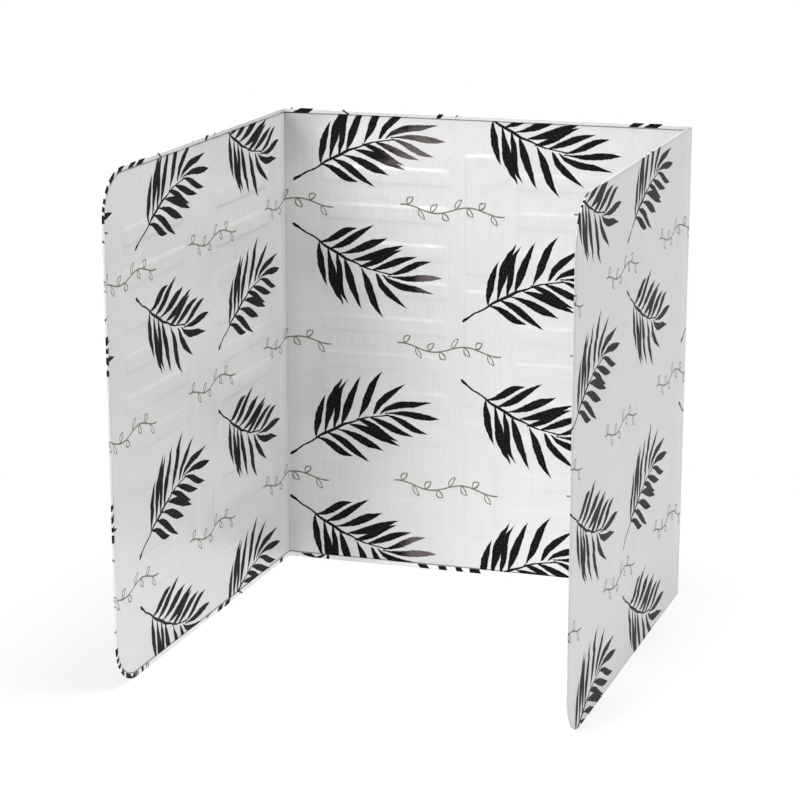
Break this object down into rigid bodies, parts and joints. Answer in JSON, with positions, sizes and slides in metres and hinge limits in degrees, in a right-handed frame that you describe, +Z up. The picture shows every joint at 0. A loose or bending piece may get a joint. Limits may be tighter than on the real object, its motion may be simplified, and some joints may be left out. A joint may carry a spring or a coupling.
{
  "type": "stove splash guard",
  "caption": "Free-standing folding splash guard of thin hemmed and ribbed metal sheet, with wings that fold flat over the back panel.",
  "frame": {"origin": "middle of the bottom edge of the back panel, halfway through its hemmed thickness", "axes": "+Z up the panels, +X along the back panel towards the right wing, -Y forward, the way the two wings come"},
  "size_m": [0.3013, 0.2812, 0.325],
  "materials": {
    "printed_sheet": "satin brushed sheet with a black leaf print",
    "creased_sheet": "satin brushed sheet, creased"
  },
  "bodies": {
    "back": {"back_panel": "printed_sheet", "left_fold": "creased_sheet", "right_fold": "creased_sheet"},
    "left": {"left_wing": "printed_sheet"},
    "right": {"right_wing": "printed_sheet"}
  },
  "joints": [
    {"name": "left_fold_hinge", "type": "hinge", "parent": "back", "child": "left", "pos_m": [-0.1405, -0.00075, 0.1625], "axis": [0, 0, 1], "range_deg": [-86.5, 93.5], "deforming": ["left_fold"]},
    {"name": "right_fold_hinge", "type": "hinge", "parent": "back", "child": "right", "pos_m": [0.1405, -0.0015, 0.1625], "axis": [0, 0, -1], "range_deg": [-93, 87], "deforming": ["right_fold"]}
  ]
}
